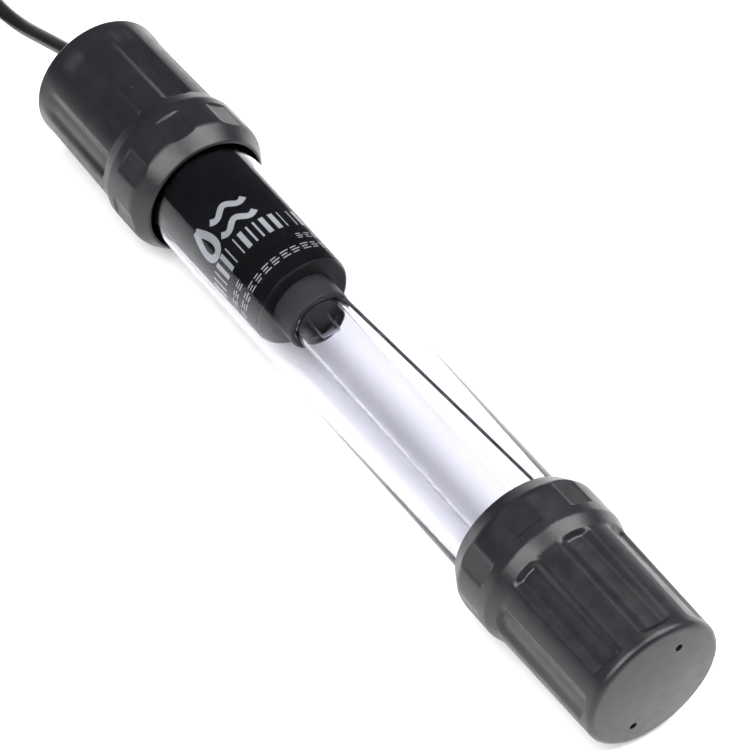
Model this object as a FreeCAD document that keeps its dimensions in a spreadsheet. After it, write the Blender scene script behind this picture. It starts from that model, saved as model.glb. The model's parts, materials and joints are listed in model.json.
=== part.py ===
import FreeCAD
import Part

import math
import os

import Sketcher
from FreeCAD import Placement, Rotation, Vector

# In-line UV clarifier lamp. It lies on its two cap collars: X runs along its axis from the cord
# end to the far end, Z is up and the surface it lies on is Z = 0. All sizes are millimetres.

SIZES = {
    # clear sleeve
    "glass_diameter": 32.0,
    "glass_wall": 1.5,
    "glass_visible": 137.0,
    "glass_in_cap": 30.0,
    # screw caps, measured along the axis from the mouth of the cap
    "cap_length": 56.0,
    "body_wall": 2.5,
    "collar_step": 1.1,
    "end_draft": 0.55,
    "mouth_lip": 0.7,
    "mouth_gap": 0.8,
    "chamfer_length": 5.0,
    "pocket_end": 13.1,
    "collar_end": 17.6,
    "shoulder_end": 19.8,
    "edge_radius": 2.2,
    "crown_height": 0.8,
    "crown_flat": 4.0,
    "end_wall": 3.2,
    "flute_depth": 1.0,
    "flute_radius": 8.0,
    "flute_margin": 3.2,
    "flute_runout": 3.0,
    "flute_count": 8.0,
    "pocket_depth": 0.6,
    "pocket_width": 7.6,
    "cord_hole_gap": 0.5,
    "end_hole_diameter": 2.0,
    "end_hole_depth": 2.2,
    "end_hole_inset": 6.6,
    "end_hole_turn": 111.7,
    # threaded end plugs
    "thread_inset": 1.0,
    "thread_depth": 0.9,
    "thread_pitch": 3.0,
    "thread_margin": 3.35,
    "thread_gap": 0.35,
    "flange_length": 2.0,
    "stem_length": 13.0,
    "stem_gap": 0.12,
    "plug_wall": 2.5,
    "ring_section": 1.5,
    "ring_squeeze": 0.03,
    "groove_gap": 0.25,
    "gasket_thickness": 2.0,
    "gasket_gap": 0.05,
    "head_wall": 5.0,
    "grommet_wall": 2.2,
    # ballast housing and lamp holder
    "housing_gap": 1.0,
    "housing_wall": 1.2,
    "housing_end_wall": 2.0,
    "housing_visible": 46.5,
    "label_thickness": 0.25,
    "boss_wall": 1.5,
    "boss_length": 7.7,
    "holder_depth": 6.0,
    "holder_gap": 1.3,
    "socket_depth": 6.5,
    # lamp
    "lamp_diameter": 15.0,
    "lamp_wall": 1.0,
    "lamp_reach": 24.0,
    "base_length": 4.0,
    "pin_diameter": 1.0,
    "pin_spacing": 5.0,
    "pin_length": 4.0,
    "cushion_length": 8.0,
    "return_wire_diameter": 0.9,
    "return_wire_inset": 2.1,
    # circuit board
    "board_length": 44.0,
    "board_inset": 2.8,
    "board_thickness": 1.2,
    "board_drop": 5.0,
    "board_gap": 9.0,
    # cord and mains plug
    "cord_diameter": 4.2,
    "coil_middle_diameter": 46.0,
    "coil_columns": 4.0,
    "relief_length": 15.0,
    "relief_diameter": 7.6,
    "plug_length": 32.0,
    "plug_width": 26.0,
    "plug_height": 13.6,
    "plug_pin_diameter": 4.0,
    "plug_pin_length": 19.0,
    "plug_pin_spacing": 19.0,
}

# Worked-out places and radii. X places are along the axis, distances "into the cap" are measured
# from the mouth of either cap towards its closed end.
PLACES = {
    "mouth": "sizes.glass_visible / 2",
    "cap_tip": "mouth + sizes.cap_length",
    "glass_radius": "sizes.glass_diameter / 2",
    "glass_bore": "glass_radius - sizes.glass_wall",
    "glass_length": "2 * (mouth + sizes.glass_in_cap)",
    "mouth_radius": "glass_radius + sizes.mouth_gap",
    "lip_radius": "mouth_radius + sizes.mouth_lip",
    "body_radius": "mouth_radius + sizes.body_wall",
    "collar_radius": "body_radius + sizes.collar_step",
    "axis_height": "collar_radius",
    "end_radius": "body_radius - sizes.end_draft",
    "edge_start": "sizes.cap_length - sizes.crown_height - sizes.edge_radius",
    "edge_end": "sizes.cap_length - sizes.crown_height",
    "face_radius": "end_radius - sizes.edge_radius",
    "flange_end": "sizes.glass_in_cap + sizes.flange_length",
    "step_end": "flange_end + 0.6",
    "thread_radius": "glass_radius - sizes.thread_inset",
    "thread_core": "thread_radius - sizes.thread_depth",
    "bore_radius": "thread_radius + sizes.thread_gap",
    "cap_floor": "sizes.cap_length - sizes.end_wall",
    "gasket_end": "cap_floor - sizes.gasket_gap",
    "gasket_start": "gasket_end - sizes.gasket_thickness",
    "head_end": "gasket_start - sizes.gasket_gap",
    "flute_axis": "body_radius - sizes.flute_depth + sizes.flute_radius",
    "flute_start": "sizes.collar_end - 1.5",
    "flute_end": "sizes.cap_length - sizes.flute_margin",
    "flute_turn": "flute_end - sizes.flute_runout",
    "flute_floor": "flute_axis - sizes.flute_radius",
    "flute_shoulder": "flute_floor + sizes.flute_runout",
    "flute_outside": "flute_axis + 0.5",
    "pocket_floor": "collar_radius - sizes.pocket_depth",
    "pocket_half": "sizes.pocket_width / 2",
    "pocket_outside": "collar_radius + 1",
    "cord_hole_radius": "sizes.cord_diameter / 2 + sizes.cord_hole_gap",
    "end_hole_radius": "sizes.end_hole_diameter / 2",
    "end_hole_offset": "end_radius - sizes.end_hole_inset",
    "stem_start": "sizes.glass_in_cap - sizes.stem_length",
    "stem_radius": "glass_bore - sizes.stem_gap",
    "groove_radius": "glass_bore - sizes.ring_squeeze - sizes.ring_section",
    "groove_width": "sizes.ring_section + 2 * sizes.groove_gap",
    "plug_bore": "stem_radius - sizes.plug_wall",
    "head_cavity_end": "head_end - sizes.head_wall",
    "thread_length": "head_end - flange_end - 2 * sizes.thread_margin",
    "grommet_radius": "sizes.cord_diameter / 2 + sizes.grommet_wall",
    "housing_radius": "glass_bore - sizes.housing_gap",
    "housing_bore": "housing_radius - sizes.housing_wall",
    "housing_far": "-mouth + sizes.housing_visible",
    "housing_near": "-mouth - stem_start + 0.4",
    "housing_inside": "housing_far - sizes.housing_end_wall",
    "lamp_radius": "sizes.lamp_diameter / 2",
    "boss_radius": "lamp_radius + sizes.boss_wall",
    "boss_far": "housing_far + sizes.boss_length",
    "lamp_near": "boss_far - sizes.socket_depth + 0.2",
    "lamp_far": "mouth + sizes.lamp_reach",
    "holder_flange_radius": "housing_bore - sizes.holder_gap",
    "tube_near": "lamp_near + sizes.base_length",
    "tube_far": "lamp_far - sizes.base_length",
    "holder_near": "housing_far - sizes.holder_depth",
    "board_far": "housing_inside - sizes.board_gap",
    "board_near": "board_far - sizes.board_length",
    "board_half": "housing_bore - sizes.board_inset",
    "board_top": "axis_height - sizes.board_drop",
    "return_wire_start": "(boss_radius + lamp_radius + 0.1) / 2",
    "return_wire_notch": "plug_bore - 1.5",
    "return_wire_spread": "glass_bore - sizes.return_wire_inset",
}

LIE_ALONG_X = Rotation(Vector(0, 1, 0), 90)
AXIS = "places.axis_height"
ZERO = "places.zero"
UPPER, LOWER = "upper", "lower"
UPPER_CAP_ROLL = 104.0
LOWER_CAP_ROLL = 39.7
# Angle of the return wire about the axis, from level (+Y) upwards.
RETURN_WIRE_ANGLE = math.radians(32.0)

doc = FreeCAD.newDocument("uv_clarifier")
sheet = doc.addObject("Spreadsheet::Sheet", "sizes")
for row, (alias, amount) in enumerate(SIZES.items(), start=1):
    sheet.set("A%d" % row, alias)
    sheet.set("B%d" % row, str(amount))
    sheet.setAlias("B%d" % row, alias)
doc.recompute()

places = doc.addObject("App::VarSet", "places")
for name, formula in PLACES.items():
    places.addProperty("App::PropertyFloat", name)
    places.setExpression(name, formula)
places.addProperty("App::PropertyFloat", "zero")
doc.recompute()

nodes = {}


def amount_of(name):
    """Number behind a name such as sizes.cap_length or places.mouth."""
    owner, prop = name.split(".")
    return float(getattr(doc.getObject(owner), prop))


def bind(thing, formulas):
    for prop, text in formulas.items():
        thing.setExpression(prop, text)
    return thing


def keep(thing, name):
    """Register a finished sub-part under its node name."""
    thing.Label = name
    nodes[name] = thing
    return thing


# ---------------------------------------------------------------- primitives

def rod(name, start, length, radius, y="0", z=AXIS):
    """Cylinder along X."""
    piece = doc.addObject("Part::Cylinder", name)
    piece.Placement = Placement(Vector(), LIE_ALONG_X)
    return bind(piece, {"Radius": radius, "Height": length, "Placement.Base.x": start,
                        "Placement.Base.y": y, "Placement.Base.z": z})


def taper(name, start, length, first_radius, last_radius, y, z):
    """Cone along X."""
    piece = doc.addObject("Part::Cone", name)
    piece.Placement = Placement(Vector(), LIE_ALONG_X)
    return bind(piece, {"Radius1": first_radius, "Radius2": last_radius, "Height": length,
                        "Placement.Base.x": start, "Placement.Base.y": y,
                        "Placement.Base.z": z})


def hoop(name, middle, middle_radius, section_radius):
    """Ring of round section about the lamp axis."""
    piece = doc.addObject("Part::Torus", name)
    piece.Placement = Placement(Vector(), LIE_ALONG_X)
    return bind(piece, {"Radius1": middle_radius, "Radius2": section_radius,
                        "Placement.Base.x": middle, "Placement.Base.z": AXIS})


def block(name, x, y, z, length, width, height):
    """Box from its lowest corner."""
    piece = doc.addObject("Part::Box", name)
    return bind(piece, {"Length": length, "Width": width, "Height": height,
                        "Placement.Base.x": x, "Placement.Base.y": y, "Placement.Base.z": z})


def cut(name, base, tool):
    piece = doc.addObject("Part::Cut", name)
    piece.Base = base
    piece.Tool = tool
    return piece


def fuse(name, pieces):
    piece = doc.addObject("Part::MultiFuse", name)
    piece.Shapes = pieces
    piece.Refine = True
    return piece


def group(name, pieces):
    """Separate solids kept together as one sub-part."""
    piece = doc.addObject("Part::Compound", name)
    piece.Links = pieces
    return piece


def ring(name, start, length, outer, inner, y="0", z=AXIS):
    """Tube along X."""
    outside = rod(name + "_outside", start, length, outer, y, z)
    inside = rod(name + "_inside", "(%s) - 1" % start, "(%s) + 2" % length, inner, y, z)
    return cut(name, outside, inside)


def into_cap(side, first, last):
    """Start and length, as formulas, of a stretch between two depths into one cap."""
    length = "(%s) - (%s)" % (last, first)
    if side == UPPER:
        return "-places.mouth - (%s)" % last, length
    return "places.mouth + (%s)" % first, length


# ---------------------------------------------------------------- tubes along a route

def route_arcs(points):
    """Straight runs joined by tangent arcs, each arc 0.45 of its shorter run long at each side."""
    edges = []
    radii = []
    last = points[0]
    for before, corner, after in zip(points, points[1:], points[2:]):
        back = (before - corner).normalize()
        ahead = (after - corner).normalize()
        reach = 0.45 * min((before - corner).Length, (after - corner).Length)
        half_turn = (math.pi - back.getAngle(ahead)) / 2
        radius = reach / math.tan(half_turn)
        to_middle = radius / math.cos(half_turn) - radius
        inward = (back + ahead).normalize()
        start = corner + back * reach
        end = corner + ahead * reach
        edges.append(Part.LineSegment(last, start).toShape())
        edges.append(Part.Arc(start, corner + inward * to_middle, end).toShape())
        radii.append(radius)
        last = end
    edges.append(Part.LineSegment(last, points[-1]).toShape())
    return Part.Wire(edges), radii


def tube_along(label, points, diameter):
    """Round solid along a route, with its volume compared with section times length."""
    path, radii = route_arcs(points)
    direction = points[1] - points[0]
    section = Part.Wire(Part.Circle(points[0], direction, diameter / 2).toShape())
    solid = path.makePipeShell([section], True, False)
    expected = math.pi * diameter ** 2 / 4 * path.Length
    print("%s: length %.1f, volume ratio %.4f, arc radii %s"
          % (label, path.Length, solid.Volume / expected, ["%.1f" % r for r in radii]))
    return solid


def shaped(name, shape):
    piece = doc.addObject("Part::Feature", name)
    piece.Shape = shape
    return piece


# ---------------------------------------------------------------- sketched bodies

def origin_of(body, role):
    return next(f for f in body.Origin.OriginFeatures if f.Role == role)


def new_sketch(body, name, plane, offset=None):
    sketch = body.newObject("Sketcher::SketchObject", name)
    sketch.AttachmentSupport = (origin_of(body, plane), [""])
    sketch.MapMode = "FlatFace"
    if offset:
        sketch.setExpression("AttachmentOffset.Base.z", offset)
    return sketch


def pin_down(sketch, edge, end, x_name, y_name):
    """Tie one end of a sketch edge to two named amounts."""
    for kind, name in (("DistanceX", x_name), ("DistanceY", y_name)):
        index = sketch.addConstraint(
            Sketcher.Constraint(kind, -1, 1, edge, end, amount_of(name)))
        sketch.setExpression("Constraints[%d]" % index, name)


def outline(sketch, corners, rounded=()):
    """Closed outline through named corners. An edge listed in rounded is an arc, given its
    radius name and its centre's two names."""
    spots = [Vector(amount_of(x), amount_of(y), 0) for x, y in corners]
    rounds = {first: (radius, centre) for first, radius, centre in rounded}
    starts = []
    for index, spot in enumerate(spots):
        target = spots[(index + 1) % len(spots)]
        if index not in rounds:
            sketch.addGeometry(Part.LineSegment(spot, target))
            starts.append((1, 2))
            continue
        radius_name, (cx, cy) = rounds[index]
        centre = Vector(amount_of(cx), amount_of(cy), 0)
        circle = Part.Circle(centre, Vector(0, 0, 1), amount_of(radius_name))
        first_angle = math.atan2(spot.y - centre.y, spot.x - centre.x)
        last_angle = math.atan2(target.y - centre.y, target.x - centre.x)
        turn = (last_angle - first_angle) % (2 * math.pi)
        if turn < math.pi:
            sketch.addGeometry(Part.ArcOfCircle(circle, first_angle, first_angle + turn))
            starts.append((1, 2))
        else:
            sketch.addGeometry(Part.ArcOfCircle(circle, last_angle, first_angle))
            starts.append((2, 1))
    for index in range(len(spots)):
        following = (index + 1) % len(spots)
        sketch.addConstraint(Sketcher.Constraint(
            "Coincident", index, starts[index][1], following, starts[following][0]))
    for index, (x_name, y_name) in enumerate(corners):
        pin_down(sketch, index, starts[index][0], x_name, y_name)
    for index, (radius_name, _) in rounds.items():
        number = sketch.addConstraint(
            Sketcher.Constraint("Radius", index, amount_of(radius_name)))
        sketch.setExpression("Constraints[%d]" % number, radius_name)


def patterned(body, name, feature, count):
    pattern = body.newObject("PartDesign::PolarPattern", name)
    pattern.Originals = [feature]
    pattern.Axis = (origin_of(body, "X_Axis"), [""])
    pattern.Angle = 360
    bind(pattern, {"Occurrences": count})
    body.Tip = pattern
    return pattern


def must_cut(before, feature):
    doc.recompute()
    if feature.Shape.Volume > before - 0.5:
        raise RuntimeError("%s removes nothing" % feature.Name)


def make_cap(side, roll):
    """Fluted screw cap, drawn from its mouth at x = 0 to its closed end."""
    name = side + "_cap"
    body = doc.addObject("PartDesign::Body", name)

    profile = new_sketch(body, name + "_profile", "XY_Plane")
    outline(profile, [
        (ZERO, "places.mouth_radius"),
        ("places.step_end", "places.mouth_radius"),
        ("places.step_end", "places.bore_radius"),
        ("places.cap_floor", "places.bore_radius"),
        ("places.cap_floor", ZERO),
        ("sizes.cap_length", ZERO),
        ("sizes.cap_length", "sizes.crown_flat"),
        ("places.edge_end", "places.face_radius"),
        ("places.edge_start", "places.end_radius"),
        ("sizes.shoulder_end", "places.body_radius"),
        ("sizes.collar_end", "places.collar_radius"),
        ("sizes.chamfer_length", "places.collar_radius"),
        (ZERO, "places.lip_radius"),
    ], rounded=[(7, "sizes.edge_radius", ("places.edge_start", "places.face_radius"))])
    turned = body.newObject("PartDesign::Revolution", name + "_turned")
    turned.Profile = profile
    turned.ReferenceAxis = (origin_of(body, "X_Axis"), [""])
    turned.Angle = 360
    doc.recompute()

    flute_sketch = new_sketch(body, name + "_flute_profile", "XY_Plane")
    outline(flute_sketch, [
        ("places.flute_start", "places.flute_axis"),
        ("places.flute_start", "places.flute_floor"),
        ("places.flute_turn", "places.flute_floor"),
        ("places.flute_end", "places.flute_shoulder"),
        ("places.flute_end", "places.flute_axis"),
    ], rounded=[(2, "sizes.flute_runout", ("places.flute_turn", "places.flute_shoulder"))])
    axis_line = flute_sketch.addGeometry(
        Part.LineSegment(Vector(0, amount_of("places.flute_axis"), 0),
                         Vector(5, amount_of("places.flute_axis"), 0)), True)
    pin_down(flute_sketch, axis_line, 1, ZERO, "places.flute_axis")
    pin_down(flute_sketch, axis_line, 2, "places.flute_end", "places.flute_axis")
    doc.recompute()
    before = turned.Shape.Volume
    flute = body.newObject("PartDesign::Groove", name + "_flute")
    flute.Profile = flute_sketch
    flute.ReferenceAxis = (flute_sketch, ["Axis0"])
    flute.Angle = 360
    must_cut(before, flute)
    flutes = patterned(body, name + "_flutes", flute, "sizes.flute_count")
    doc.recompute()

    pocket_sketch = new_sketch(body, name + "_pocket_profile", "YZ_Plane", "sizes.pocket_end")
    half = amount_of("places.pocket_half")
    low = amount_of("places.pocket_floor")
    high = amount_of("places.pocket_outside")
    corners = [Vector(-half, low, 0), Vector(half, low, 0), Vector(half, high, 0),
               Vector(-half, high, 0)]
    for first, second in zip(corners, corners[1:] + corners[:1]):
        pocket_sketch.addGeometry(Part.LineSegment(first, second))
    for index in range(4):
        pocket_sketch.addConstraint(
            Sketcher.Constraint("Coincident", index, 2, (index + 1) % 4, 1))
    pocket_sketch.addConstraint(Sketcher.Constraint("Symmetric", 0, 1, 0, 2, -2))
    pocket_sketch.addConstraint(Sketcher.Constraint("Symmetric", 2, 1, 2, 2, -2))
    for kind, edge, end, formula in (
            ("DistanceX", 0, 2, "places.pocket_half"), ("DistanceY", 0, 2, "places.pocket_floor"),
            ("DistanceX", 2, 1, "places.pocket_half"),
            ("DistanceY", 2, 1, "places.pocket_outside")):
        index = pocket_sketch.addConstraint(
            Sketcher.Constraint(kind, -1, 1, edge, end, amount_of(formula)))
        pocket_sketch.setExpression("Constraints[%d]" % index, formula)
    bind(pocket_sketch, {"AttachmentOffset.Rotation.Angle": "180 / sizes.flute_count"})
    before = flutes.Shape.Volume
    pocket = body.newObject("PartDesign::Pocket", name + "_pocket")
    pocket.Profile = pocket_sketch
    bind(pocket, {"Length": "sizes.pocket_end + 1"})
    must_cut(before, pocket)
    pockets = patterned(body, name + "_pockets", pocket, "sizes.flute_count")
    doc.recompute()

    hole_sketch = new_sketch(body, name + "_hole_profile", "YZ_Plane", "sizes.cap_length")
    before = pockets.Shape.Volume
    if side == UPPER:
        radius = "places.cord_hole_radius"
        offset = ZERO
        depth = "sizes.end_wall + 1"
    else:
        radius = "places.end_hole_radius"
        offset = "places.end_hole_offset"
        depth = "sizes.end_hole_depth"
        bind(hole_sketch, {"AttachmentOffset.Rotation.Angle": "sizes.end_hole_turn"})
    circle = hole_sketch.addGeometry(
        Part.Circle(Vector(0, amount_of(offset), 0), Vector(0, 0, 1), amount_of(radius)))
    pin_down(hole_sketch, circle, 3, ZERO, offset)
    number = hole_sketch.addConstraint(Sketcher.Constraint("Radius", circle, amount_of(radius)))
    hole_sketch.setExpression("Constraints[%d]" % number, radius)
    hole = body.newObject("PartDesign::Pocket", name + "_hole")
    hole.Profile = hole_sketch
    bind(hole, {"Length": depth})
    must_cut(before, hole)
    if side == LOWER:
        pair = patterned(body, name + "_holes", hole, "2")
        pair.Angle = 360
        doc.recompute()

    turn = Rotation(Vector(1, 0, 0), roll)
    if side == UPPER:
        turn = Rotation(Vector(0, 0, 1), 180).multiply(turn)
    body.Placement = Placement(Vector(), turn)
    sign = "-" if side == UPPER else ""
    bind(body, {"Placement.Base.x": sign + "places.mouth", "Placement.Base.z": AXIS})
    return keep(body, name)


# ---------------------------------------------------------------- sleeve, plugs and seals

def make_sleeve():
    start = "-places.mouth - sizes.glass_in_cap"
    return keep(ring("glass_sleeve", start, "places.glass_length", "places.glass_radius",
                     "places.glass_bore"), "glass_sleeve")


def thread_ridge(side):
    """Male thread: one helical ridge of trapezoid section on the head of an end plug."""
    pitch = amount_of("sizes.thread_pitch")
    height = amount_of("places.thread_length")
    core = amount_of("places.thread_core")
    crest = amount_of("places.thread_radius")
    foot = pitch * 0.30
    tip = pitch * 0.16
    root = core - 0.3
    helix = Part.makeLongHelix(pitch, height, core, 0, False)
    corners = [Vector(root, 0, -foot), Vector(crest, 0, -tip), Vector(crest, 0, tip),
               Vector(root, 0, foot), Vector(root, 0, -foot)]
    ridge = Part.Wire(helix).makePipeShell([Part.makePolygon(corners)], True, True)
    piece = shaped(side + "_thread", ridge)
    start = (amount_of("places.mouth") + amount_of("places.flange_end")
             + amount_of("sizes.thread_margin"))
    height_above = amount_of("places.axis_height")
    if side == UPPER:
        piece.Placement = Placement(Vector(-start, 0, height_above),
                                    Rotation(Vector(0, 1, 0), -90))
    else:
        piece.Placement = Placement(Vector(start, 0, height_above), LIE_ALONG_X)
    return piece


def ring_middle(number):
    """Depth into the cap of the middle of one sealing ring."""
    return "places.stem_start + sizes.stem_length * %d / 3" % number


def make_end_plug(side):
    name = side + "_plug"
    stem = rod(name + "_stem", *into_cap(side, "places.stem_start", "sizes.glass_in_cap"),
               "places.stem_radius")
    flange = rod(name + "_flange", *into_cap(side, "sizes.glass_in_cap", "places.flange_end"),
                 "places.glass_radius")
    head = rod(name + "_head", *into_cap(side, "places.flange_end", "places.head_end"),
               "places.thread_core")
    solid = fuse(name + "_solid", [stem, flange, head, thread_ridge(side)])
    cavity = rod(name + "_cavity",
                 *into_cap(side, "places.stem_start - 1", "places.head_cavity_end"),
                 "places.plug_bore")
    tools = [cavity]
    for number in (1, 2):
        middle = ring_middle(number)
        start, length = into_cap(side, "%s - places.groove_width / 2" % middle,
                                 "%s + places.groove_width / 2" % middle)
        tools.append(ring("%s_groove_%d" % (name, number), start, length,
                          "places.stem_radius + 1", "places.groove_radius"))
    if side == UPPER:
        tools.append(rod(name + "_cord_way",
                         *into_cap(side, "places.head_cavity_end - 1", "places.head_end + 1"),
                         "places.grommet_radius + 0.03"))
    return keep(cut(name, solid, fuse(name + "_hollows", tools)), name)


def make_sealing_rings(side):
    name = side + "_sealing_rings"
    rings = []
    for number in (1, 2):
        middle, _ = into_cap(side, ring_middle(number), ring_middle(number))
        rings.append(hoop("%s_%d" % (name, number), middle,
                          "places.groove_radius + sizes.ring_section / 2",
                          "sizes.ring_section / 2"))
    return keep(group(name, rings), name)


def make_gasket(side):
    name = side + "_gasket"
    start, length = into_cap(side, "places.gasket_start", "places.gasket_end")
    return keep(ring(name, start, length, "places.thread_core - 0.4",
                     "places.cord_hole_radius + 0.4"), name)


def make_grommet():
    start, length = into_cap(UPPER, "places.head_cavity_end", "places.head_end")
    sleeve = rod("grommet_sleeve", start, length, "places.grommet_radius")
    lip_start, lip_length = into_cap(UPPER, "places.head_cavity_end - 1.5",
                                     "places.head_cavity_end")
    lip = rod("grommet_lip", lip_start, lip_length, "places.grommet_radius + 1.4")
    solid = fuse("grommet_solid", [sleeve, lip])
    way = rod("grommet_way", *into_cap(UPPER, "places.head_cavity_end - 3",
                                       "places.head_end + 1"), "sizes.cord_diameter / 2")
    return keep(cut("cord_grommet", solid, way), "cord_grommet")


# ---------------------------------------------------------------- ballast housing and lamp

def make_housing():
    length = "places.housing_far - places.housing_near"
    shell = rod("housing_outside", "places.housing_near", length, "places.housing_radius")
    hollow = rod("housing_hollow", "places.housing_near - 1",
                 "places.housing_inside - places.housing_near + 1", "places.housing_bore")
    way = rod("housing_way", "places.housing_inside - 1", "sizes.housing_end_wall + 2",
              "places.boss_radius + 0.05")
    tools = fuse("housing_hollows", [hollow, way])
    keep(cut("ballast_housing", shell, tools), "ballast_housing")
    label = ring("label_wrap", "places.housing_near + 2", "(%s) - 2.6" % length,
                 "places.housing_radius + sizes.label_thickness", "places.housing_radius")
    return keep(label, "label_wrap")


def pin_pair(name, start, length):
    """Two contact pins side by side."""
    pins = [rod("%s_%d" % (name, side), start, length, "sizes.pin_diameter / 2",
                "%d * sizes.pin_spacing / 2" % side) for side in (-1, 1)]
    return group(name, pins)


def wire_spot(radius):
    """Y and Z, as formulas, of the return wire at a radius about the lamp axis."""
    return ("(%s) * %.6f" % (radius, math.cos(RETURN_WIRE_ANGLE)),
            "%s + (%s) * %.6f" % (AXIS, radius, math.sin(RETURN_WIRE_ANGLE)))


def make_lamp():
    boss = rod("holder_boss", "places.holder_near", "places.boss_far - places.holder_near",
               "places.boss_radius")
    flange = rod("holder_flange", "places.housing_inside - 2", "2", "places.holder_flange_radius")
    solid = fuse("holder_solid", [boss, flange])
    socket = rod("holder_socket", "places.boss_far - sizes.socket_depth",
                 "sizes.socket_depth + 1", "places.lamp_radius + 0.1")
    ways = [rod("holder_way_%d" % side, "places.holder_near - 1",
                "places.boss_far - places.holder_near", "sizes.pin_diameter / 2 + 0.05",
                "%d * sizes.pin_spacing / 2" % side) for side in (-1, 1)]
    ways.append(rod("holder_wire_way", "places.boss_far - 4", "6",
                    "sizes.return_wire_diameter / 2", *wire_spot("places.return_wire_start")))
    keep(cut("lamp_holder", solid, fuse("holder_hollows", [socket] + ways)), "lamp_holder")

    tube = rod("tube_outside", "places.tube_near", "places.tube_far - places.tube_near",
               "places.lamp_radius")
    hollow = rod("tube_hollow", "places.tube_near + sizes.lamp_wall",
                 "places.tube_far - places.tube_near - 2 * sizes.lamp_wall",
                 "places.lamp_radius - sizes.lamp_wall")
    keep(cut("lamp_tube", tube, hollow), "lamp_tube")
    keep(rod("near_lamp_base", "places.lamp_near", "sizes.base_length", "places.lamp_radius"),
         "near_lamp_base")
    keep(rod("far_lamp_base", "places.tube_far", "sizes.base_length", "places.lamp_radius"),
         "far_lamp_base")
    near_reach = "places.lamp_near - places.holder_near + 1.5"
    keep(pin_pair("near_lamp_pins", "places.holder_near - 1.5", near_reach), "near_lamp_pins")
    keep(pin_pair("far_lamp_pins", "places.lamp_far", "sizes.pin_length"), "far_lamp_pins")

    wires = []
    for end, start, bridge in (("near", "places.tube_near + sizes.lamp_wall",
                                "places.tube_near + sizes.lamp_wall + 5.6"),
                               ("far", "places.tube_far - sizes.lamp_wall - 6",
                                "places.tube_far - sizes.lamp_wall - 6")):
        posts = [rod("%s_post_%d" % (end, side), start, "6", "0.35",
                     "%d * sizes.pin_spacing / 2" % side) for side in (-1, 1)]
        coil = block(end + "_filament", bridge, "-sizes.pin_spacing / 2", AXIS + " - 0.4",
                     "0.8", "sizes.pin_spacing", "0.8")
        wires.append(fuse(end + "_electrode", posts + [coil]))
    keep(group("lamp_electrodes", wires), "lamp_electrodes")

    start, length = into_cap(LOWER, "places.stem_start + 1",
                             "places.stem_start + 1 + sizes.cushion_length")
    cushion = ring("cushion_ring", start, length, "places.plug_bore - 0.05",
                   "places.lamp_radius + 0.1")
    notch = rod("cushion_notch", "(%s) - 1" % start, "(%s) + 2" % length, "1.1",
                *wire_spot("places.return_wire_notch"))
    return keep(cut("lamp_cushion", cushion, notch), "lamp_cushion")


def make_return_wire():
    """Wire outside the lamp, from the holder to the far contact pins."""
    height = amount_of("places.axis_height")
    cap = amount_of("places.mouth")
    holder_face = amount_of("places.boss_far")
    stem = cap + amount_of("places.stem_start")
    lamp_far = amount_of("places.lamp_far")
    close = amount_of("places.return_wire_start")
    notch = amount_of("places.return_wire_notch")
    pin = amount_of("sizes.pin_spacing") / 2
    touch = (amount_of("sizes.pin_diameter") + amount_of("sizes.return_wire_diameter")) / 2
    along = [(holder_face - 4, close), (holder_face + 1, close),
             (cap - 1, amount_of("places.return_wire_spread")), (stem - 2, notch + 0.4),
             (stem + 5, notch + 0.1), (lamp_far + 2, notch - 0.2), (lamp_far + 7, notch - 2.5),
             (lamp_far + 8, notch - 6)]
    points = [Vector(x, r * math.cos(RETURN_WIRE_ANGLE),
                     height + r * math.sin(RETURN_WIRE_ANGLE)) for x, r in along]
    points.append(Vector(lamp_far + 4.5, pin + touch, height))
    points.append(Vector(lamp_far + 1, pin + touch, height))
    wire = tube_along("return_wire", points, amount_of("sizes.return_wire_diameter"))
    return keep(shaped("return_wire", wire), "return_wire")


# ---------------------------------------------------------------- circuit board

def on_board(distance):
    """X place at a distance back from the lamp end of the board."""
    return "places.board_far - %s" % distance


def make_board():
    keep(block("circuit_board", "places.board_near", "-places.board_half",
               "places.board_top - sizes.board_thickness", "sizes.board_length",
               "2 * places.board_half", "sizes.board_thickness"), "circuit_board")

    core = block("core_outside", on_board("31"), "-6.5", "places.board_top + 1.3", "13", "13", "9")
    windows = [block("core_window_%d" % side, on_board("28"), "%s" % start,
                     "places.board_top", "7", "2.6", "12")
               for side, start in ((-1, -4.4), (1, 1.8))]
    keep(cut("choke_core", core, fuse("core_windows", windows)), "choke_core")
    winding = block("winding_outside", on_board("27.8"), "-4.3", "places.board_top + 0.05",
                    "6.6", "8.6", "11.5")
    leg = block("winding_hollow", on_board("29"), "-1.9", "places.board_top + 1.2", "9", "3.8",
                "9.2")
    keep(cut("choke_winding", winding, leg), "choke_winding")

    can = rod("capacitor_can", on_board("15"), "11.6", "4", "4.8", "places.board_top + 4.05")
    crimp = ring("capacitor_crimp", on_board("5.6"), "0.8", "5", "3.7", "4.8",
                 "places.board_top + 4.05")
    keep(cut("bulk_capacitor", can, crimp), "bulk_capacitor")
    keep(block("film_capacitor", on_board("13"), "-8.2", "places.board_top + 0.05", "9", "4.4",
               "7.5"), "film_capacitor")

    packages = [block("transistor_%d" % side, on_board("36"), "%s" % start,
                      "places.board_top + 0.6", "4.4", "3.4", "4.6")
                for side, start in ((-1, -7.6), (1, 4.2))]
    keep(group("transistors", packages), "transistors")
    keep(group("resistors", [
        rod("resistor_%d" % number, on_board("43"), "5.6", "0.9",
            "%s" % (-6.6 + 3.1 * number), "places.board_top + 0.95")
        for number in range(3)]), "resistors")
    keep(group("diodes", [
        rod("diode_%d" % number, on_board("42.6"), "4.6", "1.3",
            "%s" % (3.4 + 3.3 * number), "places.board_top + 1.35")
        for number in range(2)]), "diodes")


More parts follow.
